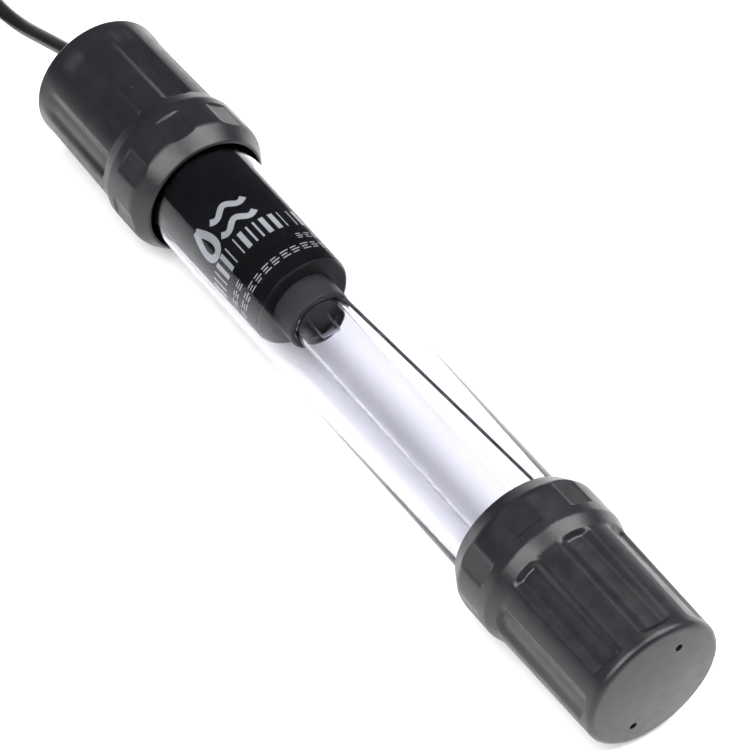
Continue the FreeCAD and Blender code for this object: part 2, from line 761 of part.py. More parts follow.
def make_leads():
    """Insulated leads: cord to board, and board to the near contact pins."""
    height = amount_of("places.axis_height")
    top = amount_of("places.board_top")
    board_near = amount_of("places.board_near")
    board_far = amount_of("places.board_far")
    cord_inside = -amount_of("places.mouth") - amount_of("places.head_cavity_end") + 4
    pins = amount_of("places.holder_near") - 1.5
    spread = amount_of("sizes.pin_spacing") / 2
    supply = []
    lamp = []
    for side in (-1, 1):
        points = [Vector(cord_inside, 0.95 * side, height),
                  Vector(cord_inside + 2, 0.95 * side, height),
                  Vector(cord_inside + 7, 1.6 * side, height),
                  Vector(cord_inside + 14, 5.0 * side, height - 0.6),
                  Vector(board_near - 6, 5.4 * side, top + 3.2),
                  Vector(board_near + 0.6, 6.6 * side, top + 0.75)]
        supply.append(shaped("supply_lead_%d" % side, tube_along("supply_lead", points, 1.3)))
        points = [Vector(pins, spread * side, height),
                  Vector(pins - 0.9, spread * side, height),
                  Vector(board_far + 1.4, 1.4 * spread * side, top + 1.6),
                  Vector(board_far - 0.6, 1.4 * spread * side, top + 0.55)]
        lamp.append(shaped("lamp_lead_%d" % side, tube_along("lamp_lead", points, 1.0)))
    keep(group("supply_leads", supply), "supply_leads")
    keep(group("lamp_leads", lamp), "lamp_leads")


# ---------------------------------------------------------------- cord, coil and mains plug

# Route of the free cord, each point its distance beyond the cap, its Y and its height above the
# surface. The first two points are straight out of the cap, on its axis.
LEAD_ROUTE = [
    (10.9, 0.0, 19.25),
    (22.1, 0.0, 14.95),
    (40.5, 0.0, 7.1),
    (52.4, 0.0, 4.45),
    (60.2, 0.9, 3.2),
    (68.6, 4.1, 2.4),
    (75.6, 5.0, 2.15),
]
STRAIGHT_OUT = 5.0
# The tail leaves the coil along X, turns back over it and ends at the plug, which lies on the
# coil. Each point is its distance along X, its share of the coil's radius and of the whole rise.
TAIL_ROUTE = [
    (13.0, 0.0, 0.02),
    (26.0, 0.0, 0.10),
    (39.0, 0.0, 0.21),
    (46.3, 0.067, 0.335),
    (51.7, 0.25, 0.47),
    (53.7, 0.5, 0.615),
    (51.7, 0.75, 0.76),
    (46.3, 0.933, 0.885),
    (39.0, 1.0, 0.97),
    (35.0, 1.0, 1.0),
]
PLUG_CLEARANCE = 0.05


def make_cord():
    axis_height = amount_of("places.axis_height")
    tip = -amount_of("places.cap_tip")
    diameter = amount_of("sizes.cord_diameter")
    start, length = into_cap(UPPER, "places.head_cavity_end - 4", "sizes.cap_length")
    keep(rod("cord_entry", start, length, "sizes.cord_diameter / 2"), "cord_entry")

    points = [Vector(tip, 0, axis_height), Vector(tip - STRAIGHT_OUT, 0, axis_height)]
    points += [Vector(tip - out, y, z) for out, y, z in LEAD_ROUTE]
    keep(shaped("cord_lead", tube_along("cord_lead", points, diameter)), "cord_lead")

    outer_turn = (amount_of("sizes.coil_middle_diameter")
                  + (amount_of("sizes.coil_columns") - 1) * diameter) / 2
    middle = Vector(points[-1].x, points[-1].y - outer_turn, 0)
    outside = Part.makeCylinder(outer_turn + diameter / 2, 2 * diameter, middle)
    inner = outer_turn - (amount_of("sizes.coil_columns") - 0.5) * diameter
    hollow = Part.makeCylinder(inner, 2 * diameter, middle)
    coil = outside.cut(hollow)
    coil = coil.makeFillet(diameter * 0.45, coil.Edges)
    keep(shaped("cord_coil", coil), "cord_coil")

    leave = Vector(middle.x, middle.y - outer_turn, 1.5 * diameter)
    rise = (diameter + amount_of("sizes.plug_height")) / 2 + PLUG_CLEARANCE
    tail = [leave] + [leave + Vector(along, across * outer_turn, up * rise)
                      for along, across, up in TAIL_ROUTE]
    keep(shaped("cord_tail", tube_along("cord_tail", tail, diameter)), "cord_tail")
    return tail[-1]


def make_mains_plug(entry):
    """Two-pin plug lying flat with its pins towards -X, entered by the cord at a point."""
    x, y, z = (str(round(value, 4)) for value in entry)
    relief = taper("relief_outside", "%s - sizes.relief_length" % x, "sizes.relief_length",
                   "sizes.relief_diameter / 2", "sizes.cord_diameter / 2 + 0.5", y, z)
    keep(relief, "plug_relief")

    body = doc.addObject("PartDesign::Body", "plug_body")
    sketch = new_sketch(body, "plug_section", "YZ_Plane")
    half_width = amount_of("sizes.plug_width") / 2
    half_height = amount_of("sizes.plug_height") / 2
    corners = [Vector(-half_width, -half_height, 0), Vector(half_width, -half_height, 0),
               Vector(half_width, half_height, 0), Vector(-half_width, half_height, 0)]
    for first, second in zip(corners, corners[1:] + corners[:1]):
        sketch.addGeometry(Part.LineSegment(first, second))
    for index in range(4):
        sketch.addConstraint(Sketcher.Constraint("Coincident", index, 2, (index + 1) % 4, 1))
    sketch.addConstraint(Sketcher.Constraint("Horizontal", 0))
    sketch.addConstraint(Sketcher.Constraint("Vertical", 1))
    sketch.addConstraint(Sketcher.Constraint("Horizontal", 2))
    sketch.addConstraint(Sketcher.Constraint("Vertical", 3))
    for kind, edge, end, formula, amount in (
            ("DistanceX", 0, 2, "sizes.plug_width / 2", half_width),
            ("DistanceY", 1, 2, "sizes.plug_height / 2", half_height),
            ("DistanceX", 0, 1, "-sizes.plug_width / 2", -half_width),
            ("DistanceY", 0, 1, "-sizes.plug_height / 2", -half_height)):
        index = sketch.addConstraint(Sketcher.Constraint(kind, -1, 1, edge, end, amount))
        sketch.setExpression("Constraints[%d]" % index, formula)
    pad = body.newObject("PartDesign::Pad", "plug_block")
    pad.Profile = sketch
    bind(pad, {"Length": "sizes.plug_length"})
    doc.recompute()
    rounding = body.newObject("PartDesign::Fillet", "plug_rounding")
    long_edges = ["Edge%d" % (index + 1) for index, edge in enumerate(pad.Shape.Edges)
                  if abs(edge.tangentAt(edge.FirstParameter).x) > 0.9]
    rounding.Base = (pad, long_edges)
    bind(rounding, {"Radius": "sizes.plug_height * 0.42"})
    bind(body, {"Placement.Base.x": "%s - sizes.relief_length - sizes.plug_length" % x,
                "Placement.Base.y": y, "Placement.Base.z": z})
    keep(body, "plug_body")

    start = "%s - sizes.relief_length - sizes.plug_length - sizes.plug_pin_length" % x
    pins = [rod("plug_pin_%d" % side, start, "sizes.plug_pin_length",
                "sizes.plug_pin_diameter / 2", "%s + %d * sizes.plug_pin_spacing / 2" % (y, side),
                z) for side in (-1, 1)]
    keep(group("plug_pins", pins), "plug_pins")


# ---------------------------------------------------------------- assembly

make_sleeve()
for end in (UPPER, LOWER):
    make_end_plug(end)
    make_sealing_rings(end)
    make_gasket(end)
make_cap(UPPER, UPPER_CAP_ROLL)
make_cap(LOWER, LOWER_CAP_ROLL)
make_grommet()
make_housing()
make_lamp()
make_return_wire()
make_board()
make_leads()
make_mains_plug(make_cord())
doc.recompute()

for thing in doc.Objects:
    if "Invalid" in thing.State or "Error" in thing.State:
        raise RuntimeError("%s failed: %s" % (thing.Name, thing.State))
os.makedirs("parts", exist_ok=True)
for node_name, thing in nodes.items():
    if thing.Shape.isNull() or not thing.Shape.isValid() or not thing.Shape.Solids:
        raise RuntimeError("%s has no valid shape" % node_name)
    thing.Shape.exportStep("parts/%s.step" % node_name)
print("%d nodes written" % len(nodes))
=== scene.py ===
"""Studio scene of an in-line UV clarifier lamp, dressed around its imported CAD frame."""

import json
import logging
import math
from collections.abc import Callable, Iterable
from dataclasses import dataclass, field
from enum import Enum

import bmesh
import bpy
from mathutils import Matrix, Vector


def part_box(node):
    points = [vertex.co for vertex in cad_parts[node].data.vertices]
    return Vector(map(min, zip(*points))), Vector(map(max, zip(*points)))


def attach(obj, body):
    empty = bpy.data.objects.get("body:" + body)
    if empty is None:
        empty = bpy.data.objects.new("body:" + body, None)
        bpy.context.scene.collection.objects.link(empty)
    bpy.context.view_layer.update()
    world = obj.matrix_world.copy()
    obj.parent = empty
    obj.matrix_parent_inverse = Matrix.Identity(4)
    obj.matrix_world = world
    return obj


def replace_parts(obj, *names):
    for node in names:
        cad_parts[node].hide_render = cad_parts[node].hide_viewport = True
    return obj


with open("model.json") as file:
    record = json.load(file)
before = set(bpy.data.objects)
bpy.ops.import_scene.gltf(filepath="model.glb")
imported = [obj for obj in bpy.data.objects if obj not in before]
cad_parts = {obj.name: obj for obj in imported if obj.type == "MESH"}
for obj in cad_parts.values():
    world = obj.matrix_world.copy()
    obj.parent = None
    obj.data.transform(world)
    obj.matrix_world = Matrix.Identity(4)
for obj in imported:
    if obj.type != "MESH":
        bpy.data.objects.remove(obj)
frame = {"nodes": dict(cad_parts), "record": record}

logging.basicConfig(level=logging.INFO, format="%(message)s")
log = logging.getLogger("uv_clarifier")

MM = 0.001
Colour = tuple[float, float, float]
Outline = list[tuple[float, float]]


class Side(Enum):
    """End of the lamp that a piece belongs to, with the direction in which it points."""

    UPPER = -1
    LOWER = 1

    @property
    def word(self) -> str:
        """Name of the end as the CAD nodes use it."""
        return self.name.lower()


# ---------------------------------------------------------------- materials


class Shading:
    """Node tree of one material, with a short way to add and join its nodes."""

    def __init__(self, name: str) -> None:
        """Start from an empty tree that holds only the output.

        Args:
            name: Name of the material.
        """
        self.material = bpy.data.materials.new(name)
        self.material.use_nodes = True
        self.tree = self.material.node_tree
        self.tree.nodes.clear()
        self.output = self.add("ShaderNodeOutputMaterial")
        self.place = self.add("ShaderNodeTexCoord").outputs["Object"]

    def add(self, kind: str, **values: object) -> bpy.types.Node:
        """Add a node and set its inputs by name.

        Args:
            kind: Blender's name of the node type.
            values: Input values, with underscores for the spaces in an input's name.

        Returns:
            The new node.
        """
        node = self.tree.nodes.new(kind)
        for key, value in values.items():
            node.inputs[key.replace("_", " ")].default_value = value
        return node

    def join(self, source: bpy.types.NodeSocket, target: bpy.types.NodeSocket) -> None:
        """Link an output to an input."""
        self.tree.links.new(source, target)

    def noise(self, size: float, detail: float = 4.0) -> bpy.types.NodeSocket:
        """Value of a solid noise.

        Args:
            size: Width of one patch, in metres.
            detail: Number of finer layers.

        Returns:
            The noise's value socket.
        """
        node = self.add("ShaderNodeTexNoise", Scale=1.0 / size, Detail=detail)
        self.join(self.place, node.inputs["Vector"])
        return node.outputs["Fac"]

    def specks(self, spacing: float, share: float) -> bpy.types.NodeSocket:
        """Value that is 1 in small separate spots and 0 elsewhere.

        Args:
            spacing: Distance between neighbouring spots, in metres.
            share: Radius of a spot as a share of the spacing.

        Returns:
            The value socket.
        """
        node = self.add("ShaderNodeTexVoronoi", Scale=1.0 / spacing)
        self.join(self.place, node.inputs["Vector"])
        return self.ranged(node.outputs["Distance"], share * 0.6, share, 1.0, 0.0)

    def ranged(self, source: bpy.types.NodeSocket, low: float, high: float,
               first: float, last: float) -> bpy.types.NodeSocket:
        """Map a value from one range to another, clamped at both ends.

        Args:
            source: Value to map.
            low: Start of its range.
            high: End of its range.
            first: Result at the start.
            last: Result at the end.

        Returns:
            The mapped value socket.
        """
        node = self.add("ShaderNodeMapRange", From_Min=low, From_Max=high, To_Min=first, To_Max=last)
        self.join(source, node.inputs["Value"])
        return node.outputs["Result"]

    def ramp(self, source: bpy.types.NodeSocket, low: float, first: Colour, high: float,
             last: Colour) -> bpy.types.NodeSocket:
        """Colour ramp between two stops.

        Args:
            source: Value that runs along the ramp.
            low: Place of the first stop.
            first: Colour at the first stop.
            high: Place of the last stop.
            last: Colour at the last stop.

        Returns:
            The colour socket.
        """
        node = self.add("ShaderNodeValToRGB")
        for element, place, colour in zip(node.color_ramp.elements, (low, high), (first, last)):
            element.position = place
            element.color = (*colour, 1.0)
        self.join(source, node.inputs["Fac"])
        return node.outputs["Color"]

    def bump(self, height: bpy.types.NodeSocket, depth: float) -> bpy.types.NodeSocket:
        """Bump a surface by a height value.

        Args:
            height: Value from 0 to 1.
            depth: Height of 1, in metres.

        Returns:
            The normal socket.
        """
        node = self.add("ShaderNodeBump", Distance=depth)
        self.join(height, node.inputs["Height"])
        return node.outputs["Normal"]

    def surface(self, **values: object) -> bpy.types.Node:
        """Principled shader joined to the output.

        Args:
            values: Input values, as for add.

        Returns:
            The shader node.
        """
        shader = self.add("ShaderNodeBsdfPrincipled", **values)
        self.join(shader.outputs["BSDF"], self.output.inputs["Surface"])
        return shader


def shade_of(colour: Colour, amount: float) -> Colour:
    """Lighter or darker shade of a colour."""
    red, green, blue = colour
    return red * amount, green * amount, blue * amount


@dataclass(frozen=True)
class Finish:
    """Moulded or coated solid surface with a fine grain and uneven sheen.

    Attributes:
        slot: Material slot in the record.
        colour: Base colour, linear.
        roughness: Middle roughness.
        spread: How far colour and roughness wander, as a share.
        grain: Width of one grain, in metres.
        depth: Height of the grain, in metres.
        reflectance: Refractive index of the top layer.
        metallic: 1 for bare metal.
        dust: Brightness of stray light specks, 0 for none.
    """

    slot: str
    colour: Colour
    roughness: float
    spread: float = 0.12
    grain: float = 0.00035
    depth: float = 0.000008
    reflectance: float = 1.48
    metallic: float = 0.0
    dust: float = 0.0

    def material(self) -> bpy.types.Material:
        """Build the material."""
        shading = Shading(self.slot)
        shader = shading.surface(Metallic=self.metallic, IOR=self.reflectance)
        patches = shading.noise(0.012, 6.0)
        colour = shading.ramp(patches, 0.3, shade_of(self.colour, 1 - self.spread), 0.7,
                              shade_of(self.colour, 1 + self.spread))
        if self.dust:
            blend = shading.add("ShaderNodeMix")
            blend.data_type = "RGBA"
            shading.join(shading.specks(0.0065, 0.022), blend.inputs["Factor"])
            shading.join(colour, blend.inputs["A"])
            blend.inputs["B"].default_value = (self.dust, self.dust, self.dust, 1.0)
            colour = blend.outputs["Result"]
        shading.join(colour, shader.inputs["Base Color"])
        sheen = shading.ranged(shading.noise(0.004, 5.0), 0.3, 0.7,
                               self.roughness * (1 - self.spread),
                               min(1.0, self.roughness * (1 + self.spread)))
        shading.join(sheen, shader.inputs["Roughness"])
        shading.join(shading.bump(shading.noise(self.grain, 3.0), self.depth),
                     shader.inputs["Normal"])
        return shading.material


@dataclass(frozen=True)
class GlassFinish:
    """Clear drawn glass with faint draw lines.

    Attributes:
        slot: Material slot in the record.
        tint: Colour of the light let through at each surface.
        index: Refractive index.
    """

    slot: str
    tint: Colour
    index: float = 1.46

    def material(self) -> bpy.types.Material:
        """Build the material."""
        shading = Shading(self.slot)
        shader = shading.surface(IOR=self.index, Transmission_Weight=1.0)
        tint = shading.ramp(shading.noise(0.05, 2.0), 0.3, shade_of(self.tint, 0.985), 0.7, self.tint)
        shading.join(tint, shader.inputs["Base Color"])
        haze = shading.ranged(shading.noise(0.02, 4.0), 0.35, 0.75, 0.0, 0.02)
        shading.join(haze, shader.inputs["Roughness"])
        shading.join(shading.bump(shading.noise(0.03, 1.0), 0.00002), shader.inputs["Normal"])
        return shading.material


@dataclass(frozen=True)
class BandedFinish:
    """Surface with fine parallel bands, such as wound wire or a board's tracks.

    Attributes:
        slot: Material slot in the record.
        low: Colour between the bands.
        high: Colour of the bands.
        pitch: Distance between the bands, in metres.
        roughness: Roughness of the surface.
        metallic: 1 for bare metal.
        wander: How strongly the bands bend.
    """

    slot: str
    low: Colour
    high: Colour
    pitch: float
    roughness: float
    metallic: float = 0.0
    wander: float = 0.0

    def material(self) -> bpy.types.Material:
        """Build the material."""
        shading = Shading(self.slot)
        shader = shading.surface(Metallic=self.metallic, Roughness=self.roughness)
        bands = shading.add("ShaderNodeTexWave", Scale=0.31416 / self.pitch, Distortion=self.wander,
                            Detail=1.0)
        bands.bands_direction = "Z"
        shading.join(shading.place, bands.inputs["Vector"])
        shading.join(shading.ramp(bands.outputs["Fac"], 0.35, self.low, 0.65, self.high),
                     shader.inputs["Base Color"])
        shading.join(shading.bump(bands.outputs["Fac"], 0.00005), shader.inputs["Normal"])
        return shading.material


FINISHES = (
    Finish("cap_plastic", (0.0085, 0.0086, 0.0104), 0.34, spread=0.16, grain=0.0006,
           depth=0.00003, reflectance=1.38, dust=0.22),
    GlassFinish("clear_glass", (0.890, 0.890, 0.925), index=1.25),
    GlassFinish("lamp_glass", (0.965, 0.965, 0.985), index=1.2),
    Finish("plug_plastic", (0.020, 0.020, 0.023), 0.45),
    Finish("seal_rubber", (0.018, 0.018, 0.019), 0.62, grain=0.0006),
    Finish("housing_plastic", (0.006, 0.006, 0.007), 0.35, reflectance=1.2),
    Finish("label_film", (0.0045, 0.0045, 0.0055), 0.45, depth=0.000002, reflectance=1.02),
    Finish("holder_plastic", (0.022, 0.022, 0.026), 0.42, spread=0.14, reflectance=1.3),
    Finish("lamp_base_ceramic", (0.72, 0.71, 0.67), 0.45),
    Finish("pin_metal", (0.48, 0.47, 0.44), 0.30, metallic=1.0, grain=0.0002, depth=0.000002),
    Finish("electrode_wire", (0.50, 0.50, 0.52), 0.32, metallic=1.0, grain=0.0002),
    Finish("wire_insulation", (0.045, 0.045, 0.05), 0.34, grain=0.0006, depth=0.00003),
    BandedFinish("board_laminate", (0.012, 0.105, 0.045), (0.035, 0.19, 0.085), 0.0016, 0.35,
                 wander=3.0),
    Finish("ferrite", (0.045, 0.045, 0.05), 0.7, grain=0.0003, depth=0.00002),
    BandedFinish("copper_winding", (0.22, 0.06, 0.02), (0.72, 0.29, 0.12), 0.0004, 0.3,
                 metallic=1.0),
    Finish("capacitor_sleeve", (0.012, 0.02, 0.075), 0.3),
    Finish("film_capacitor_case", (0.36, 0.028, 0.018), 0.28),
    Finish("black_resin", (0.016, 0.016, 0.017), 0.5),
    Finish("resistor_body", (0.5, 0.34, 0.17), 0.5),
    Finish("cord_jacket", (0.008, 0.008, 0.009), 0.34, grain=0.0008, reflectance=1.38),
    Finish("plug_moulding", (0.016, 0.016, 0.018), 0.42),
)


class Palette:
    """Materials by the record's slot names."""

    def __init__(self, finishes: Iterable[Finish | GlassFinish | BandedFinish]) -> None:
        """Build every finish once.

        Args:
            finishes: Finishes of the record's slots.
        """
        self.materials = {finish.slot: finish.material() for finish in finishes}
        ink = Finish("silver_ink", (0.25, 0.265, 0.27), 0.5, spread=0.10, grain=0.0002)
        self.ink = ink.material()

    def paint(self, piece: bpy.types.Object, slot: str) -> bpy.types.Object:
        """Give a made piece the finish of a slot.

        Args:
            piece: Object to paint.
            slot: Material slot in the record.

        Returns:
            The same object.
        """
        piece.data.materials.clear()
        piece.data.materials.append(self.materials[slot])
        return piece

    def dress_frame(self) -> None:
        """Put the finishes on every CAD node, by the slot that the record gives it."""
        for part in frame["record"]["subparts"]:
            node = frame["nodes"][part["node"]]
            for index in range(len(node.data.materials)):
                node.data.materials[index] = self.materials[part["material_slot"]]
            log.info("dressed %s with %s", part["node"], part["material_slot"])


# ---------------------------------------------------------------- mesh helpers


def new_object(name: str, form: bmesh.types.BMesh, sharp: float = 32.0) -> bpy.types.Object:
    """Turn a bmesh into a smooth-shaded object in the scene.

    Args:
        name: Name of the piece.
        form: Mesh to use up.
        sharp: Angle in degrees above which an edge stays sharp.

    Returns:
        The new object.
    """
    mesh = bpy.data.meshes.new(name)
    form.to_mesh(mesh)
    form.free()
    mesh.shade_smooth()
    mesh.set_sharp_from_angle(angle=math.radians(sharp))
    piece = bpy.data.objects.new(name, mesh)
    bpy.context.scene.collection.objects.link(piece)
    log.info("made %s with %d faces", name, len(mesh.polygons))
    return piece


def rounded(corners: Outline, radii: dict[int, float], closed: bool) -> Outline:
    """Round some corners of an outline.

    Args:
        corners: Points of the outline.
        radii: Rounding radius by corner number.
        closed: Whether the last point joins the first.

    Returns:
        The outline with each of those corners as a short arc.
    """
    result: Outline = []
    for index, corner in enumerate(corners):
        radius = radii.get(index, 0.0)
        if not radius or (not closed and index in (0, len(corners) - 1)):
            result.append(corner)
            continue
        middle = Vector(corner)
        before = (Vector(corners[index - 1]) - middle).normalized()
        after = (Vector(corners[(index + 1) % len(corners)]) - middle).normalized()
        half = before.angle(after) / 2
        reach = radius / math.tan(half)
        centre = middle + (before + after).normalized() * (radius / math.sin(half))
        start = middle + before * reach - centre
        end = middle + after * reach - centre
        side = 1 if start.x * end.y > start.y * end.x else -1
        turn = math.pi - 2 * half
        for step in range(7):
            angle = side * turn * step / 6
            result.append((centre.x + start.x * math.cos(angle) - start.y * math.sin(angle),
                           centre.y + start.x * math.sin(angle) + start.y * math.cos(angle)))
    return result


def divided(outline: Outline, longest: float, closed: bool) -> Outline:
    """Split an outline's edges until none is longer than a length.

    Args:
        outline: Points of the outline.
        longest: Longest edge to leave.
        closed: Whether the last point joins the first.

    Returns:
        The finer outline.
    """
    result: Outline = []
    ends = outline[1:] + outline[:1]
    for index, (first, last) in enumerate(zip(outline, ends)):
        if not closed and index == len(outline) - 1:
            result.append(first)
            break
        pieces = max(1, math.ceil(math.dist(first, last) / longest))
        for step in range(pieces):
            share = step / pieces
            result.append((first[0] + (last[0] - first[0]) * share,
                           first[1] + (last[1] - first[1]) * share))
    return result


@dataclass
class Lathe:
    """Turns outlines about a line along X.

    Attributes:
        height: Height of the line above the surface, in millimetres.
        y: Y of the line, in millimetres.
        steps: Number of points round one turn.
    """

    height: float
    y: float = 0.0
    steps: int = 192

    def spot(self, x: float, radius: float, angle: float) -> tuple[float, float, float]:
        """Point at a radius and angle about the line, in metres."""
        return (x * MM, (self.y + radius * math.cos(angle)) * MM,
                (self.height + radius * math.sin(angle)) * MM)

    def turn(self, name: str, outline: Outline,
             shape: Callable[[float, float, float], float] | None = None,
             sharp: float = 32.0) -> bpy.types.Object:
        """Turn a closed outline of x and radius into a solid.

        Args:
            name: Name of the piece.
            outline: Outline points; a point on the line itself becomes a pole.
            shape: Changes the radius, from x, radius and angle.
            sharp: Angle in degrees above which an edge stays sharp.

        Returns:
            The new object.
        """
        loops = zip(outline, outline[1:] + outline[:1])
        area = sum(first[0] * last[1] - last[0] * first[1] for first, last in loops)
        form = bmesh.new()
        rows: list[list[bmesh.types.BMVert]] = []
        for x, radius in outline if area > 0 else outline[::-1]:
            if radius < 1e-6:
                rows.append([form.verts.new(self.spot(x, 0.0, 0.0))])
                continue
            row = []
            for step in range(self.steps):
                angle = 2 * math.pi * step / self.steps
                reach = shape(x, radius, angle) if shape else radius
                row.append(form.verts.new(self.spot(x, reach, angle)))
            rows.append(row)
        for first, last in zip(rows, rows[1:] + rows[:1]):
            if len(first) == 1 and len(last) == 1:
                continue
            for step in range(self.steps):
                after = (step + 1) % self.steps
                if len(first) == 1:
                    form.faces.new((first[0], last[step], last[after]))
                elif len(last) == 1:
                    form.faces.new((first[step], last[0], first[after]))
                else:
                    form.faces.new((first[step], last[step], last[after], first[after]))
        return new_object(name, form, sharp)


def eased(value: float) -> float:
    """Smooth step from 0 to 1."""
    share = min(1.0, max(0.0, value))
    return share * share * (3 - 2 * share)


def extent(node: str) -> tuple[Vector, Vector]:
    """Lowest and highest corner of a CAD node, in millimetres."""
    low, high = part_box(node)
    return low / MM, high / MM


# ---------------------------------------------------------------- screw caps


@dataclass
class ScrewCap:
    """Fluted screw cap, with its sizes in millimetres from the mouth towards the closed end.

    Attributes:
        side: End of the lamp.
        first_flute: Angle of one flute from level towards up, in degrees.
        opening: Radius of the hole in the closed end, 0 for none.
        hole_angle: Angle of the two blind holes in the closed end.
        flute_half: Half width of one flute.
        flute_side: Width of a flute's sloping side.
        flute_entry: Length over which a flute deepens at the shoulder.
        flute_fade: Length over which it runs out near the closed end.
        flute_bend: How far the ends of a flute bow towards its middle.
        flute_bowl: Extra depth at the sides of a flute, as a share of the depth.
    """

    side: Side
    first_flute: float
    opening: float = 0.0
    hole_angle: float = 61.4
    flutes: int = 8
    chamfer: float = 5.0
    collar_end: float = 16.0
    shoulder_end: float = 19.8
    body_step: float = 1.1
    draft: float = 0.55
    lip_drop: float = 2.9
    bore_drop: float = 3.6
    bore_step: float = 1.45
    step_depth: float = 32.6
    floor_depth: float = 52.8
    crown: float = 0.8
    crown_flat: float = 4.0
    edge: float = 1.7
    flute_depth: float = 1.35
    flute_half: float = 4.9
    flute_start: float = 19.3
    flute_end: float = 52.6
    flute_side: float = 3.2
    flute_entry: float = 1.5
    flute_fade: float = 1.3
    flute_bend: float = 0.5
    flute_bowl: float = 0.25
    pocket_end: float = 13.1
    pocket_depth: float = 0.45
    pocket_half: float = 3.8
    hole_depth: float = 2.2
    low: Vector = field(init=False)
    high: Vector = field(init=False)

    def __post_init__(self) -> None:
        """Read where the CAD cap is."""
        self.low, self.high = extent(f"{self.side.word}_cap")
        self.length = self.high.x - self.low.x
        self.collar = (self.high.z - self.low.z) / 2
        self.body = self.collar - self.body_step
        self.mouth = self.low.x if self.side is Side.LOWER else self.high.x
        self.lathe = Lathe((self.high.z + self.low.z) / 2, steps=384)

    def outline(self) -> Outline:
        """Closed outline of the cap's wall, as depth into the cap and radius."""
        end = self.body - self.draft
        bore = self.collar - self.bore_drop
        corners = [
            (self.length, self.opening),
            (self.length, self.crown_flat),
            (self.length - self.crown, end),
            (self.shoulder_end, self.body),
            (self.collar_end, self.collar),
            (self.chamfer, self.collar),
            (0.0, self.collar - self.lip_drop),
            (0.0, bore),
            (self.step_depth, bore),
            (self.step_depth, bore - self.bore_step),
            (self.floor_depth, bore - self.bore_step),
            (self.floor_depth, self.opening),
        ]
        radii = {2: self.edge, 3: 3.0, 4: 3.0, 5: 3.6, 6: 0.9, 7: 0.2}
        if self.opening:
            radii[0] = 0.4
        smooth = rounded(corners, radii, closed=True)
        outer = [spot for spot in smooth if spot[1] > bore + 0.2]
        fine = divided(outer, 0.25, closed=False)
        start = smooth.index(outer[0])
        return smooth[:start] + fine + smooth[start + len(outer):]

    def fluted(self, x: float, radius: float, angle: float) -> float:
        """Radius of the outside with its flutes and collar pockets.

        Args:
            x: Place along the lamp.
            radius: Radius of the plain turned cap.
            angle: Angle about the lamp axis.

        Returns:
            The radius there.
        """
        if radius < self.collar - self.bore_drop + 0.2:
            return radius
        depth = (x - self.mouth) * self.side.value
        if depth > self.flute_end:
            return radius
        spacing = 2 * math.pi / self.flutes
        turn = (angle - math.radians(self.first_flute) + spacing / 2) % spacing - spacing / 2
        off = abs(radius * math.sin(turn))
        bow = (off / self.flute_half) ** 2
        floor = self.body - self.flute_depth * (1.0 + self.flute_bowl * bow)
        bend = self.flute_bend * bow
        cover = eased((self.flute_half - off) / self.flute_side)
        cover *= eased((depth - self.flute_start - bend) / self.flute_entry)
        cover *= eased((self.flute_end - bend - depth) / self.flute_fade)
        reach = radius - cover * max(0.0, radius - floor)
        across = abs(turn) - spacing / 2
        wide = eased((self.pocket_half + 0.7 - abs(reach * math.sin(across))) / 1.6)
        deep = eased((self.pocket_end + 0.15 - depth) / 0.3)
        bottom = (self.collar - self.pocket_depth) / math.cos(across)
        return reach - wide * deep * max(0.0, reach - bottom)

    def drill(self, cap: bpy.types.Object) -> None:
        """Sink the two blind holes of the closed end."""
        mount = next(m for m in frame["record"]["mounts"] if m["name"] == "end_holes")
        sizes = mount["dims"]
        tip = self.mouth + self.side.value * self.length
        start = tip - self.side.value * self.hole_depth
        for half_turn in (0.0, math.pi):
            angle = math.radians(self.hole_angle) + half_turn
            out = sizes["pcd_mm"] / 2
            lathe = Lathe(self.lathe.height + out * math.sin(angle), out * math.cos(angle), 48)
            hole = [(start, 0.0), (start, sizes["hole_r_mm"]), (tip + 1, sizes["hole_r_mm"]),
                    (tip + 1, 0.0)]
            cutter = lathe.turn("end_hole_cutter", hole)
            change = cap.modifiers.new("holes", "BOOLEAN")
            change.object = cutter
            change.solver = "EXACT"
            bpy.context.view_layer.update()
            finished = cap.evaluated_get(bpy.context.evaluated_depsgraph_get())
            mesh = bpy.data.meshes.new_from_object(finished)
            cap.modifiers.remove(change)
            cap.data = mesh
            bpy.data.objects.remove(cutter)
        cap.data.set_sharp_from_angle(angle=math.radians(32))

    def build(self, palette: Palette) -> bpy.types.Object:
        """Make the cap and let it ride on its CAD body."""
        node = f"{self.side.word}_cap"
        outline = [(self.mouth + self.side.value * depth, radius)
                   for depth, radius in self.outline()]
        cap = self.lathe.turn(f"{node}_shell", outline, self.fluted, sharp=60)
        if not self.opening:
            self.drill(cap)
        palette.paint(cap, "cap_plastic")
        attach(cap, node)
        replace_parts(cap, node)
        return cap


# ---------------------------------------------------------------- sleeve, ballast section and lamp


@dataclass
class GlassSleeve:
    """Clear outer sleeve with fire-polished ends."""

    wall: float = 1.5

    def build(self, palette: Palette) -> bpy.types.Object:
        """Make the sleeve in place of the CAD one."""
        low, high = extent("glass_sleeve")
        radius = high.y
        corners = [(low.x, radius - self.wall), (low.x, radius), (high.x, radius),
                   (high.x, radius - self.wall)]
        outline = rounded(corners, dict.fromkeys(range(4), 0.6), closed=True)
        lathe = Lathe(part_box("upper_cap")[1].z / MM / 2, steps=320)
        sleeve = lathe.turn("sleeve_tube", outline, sharp=60)
        palette.paint(sleeve, "clear_glass")
        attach(sleeve, "root")
        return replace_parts(sleeve, "glass_sleeve")


